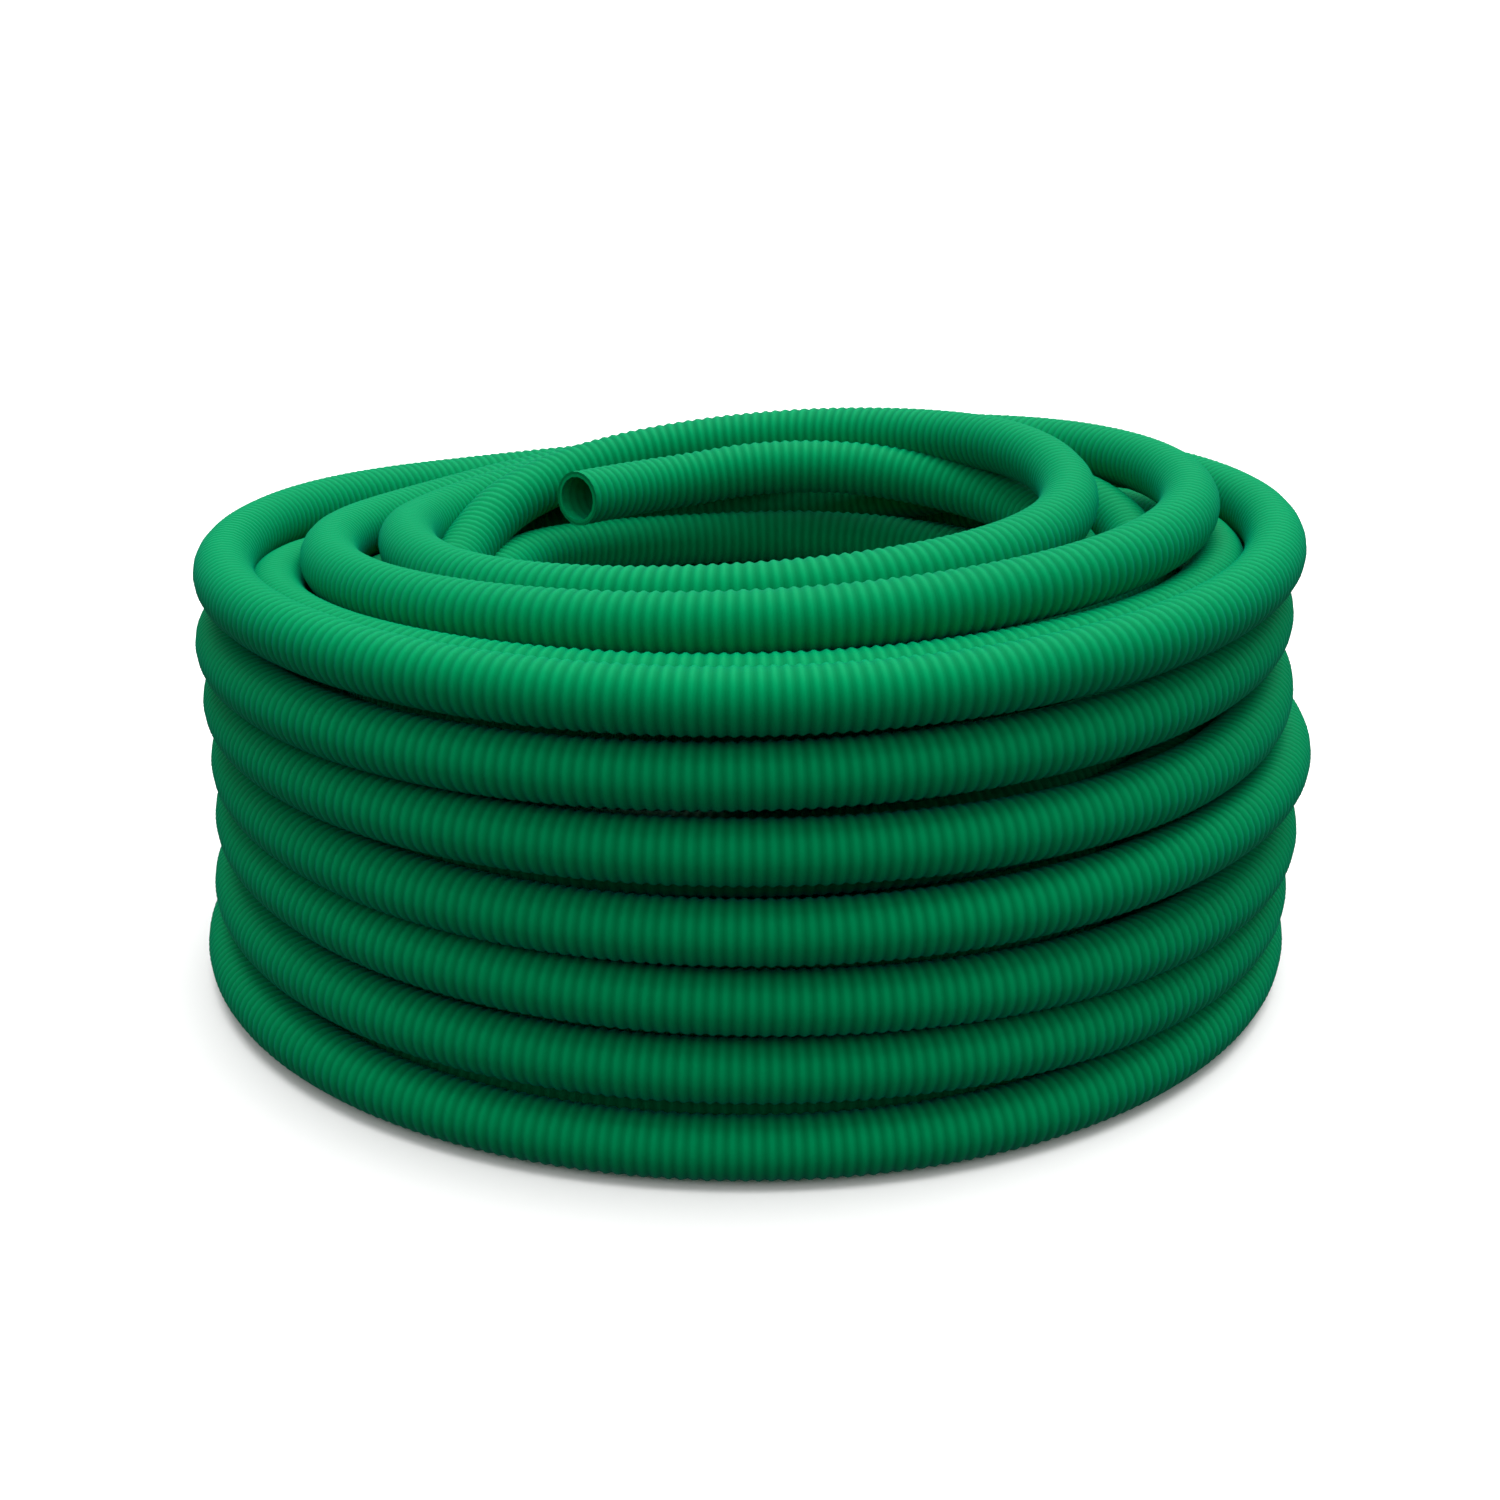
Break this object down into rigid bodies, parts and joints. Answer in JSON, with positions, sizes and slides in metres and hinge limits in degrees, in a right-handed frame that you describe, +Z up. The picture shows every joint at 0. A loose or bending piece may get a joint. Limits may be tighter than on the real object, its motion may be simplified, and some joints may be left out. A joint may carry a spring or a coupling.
{
  "type": "soaker hose",
  "caption": "Free-standing coil of green corrugated flexible hose, with a loose plain-cut free end lying inside the top of the coil.",
  "frame": {"origin": "middle of the coil's base, on the surface that it stands on", "axes": "+Z up along the coil's axis, +X to the right and -Y towards the side that the free end's mouth is seen from"},
  "size_m": [0.47, 0.4698, 0.218],
  "materials": {
    "green_hose": "matt, corrugated"
  },
  "bodies": {
    "root": {"wound_turns": "green_hose", "loose_turns": "green_hose", "free_end": "green_hose", "inner_end": "green_hose"}
  },
  "joints": []
}
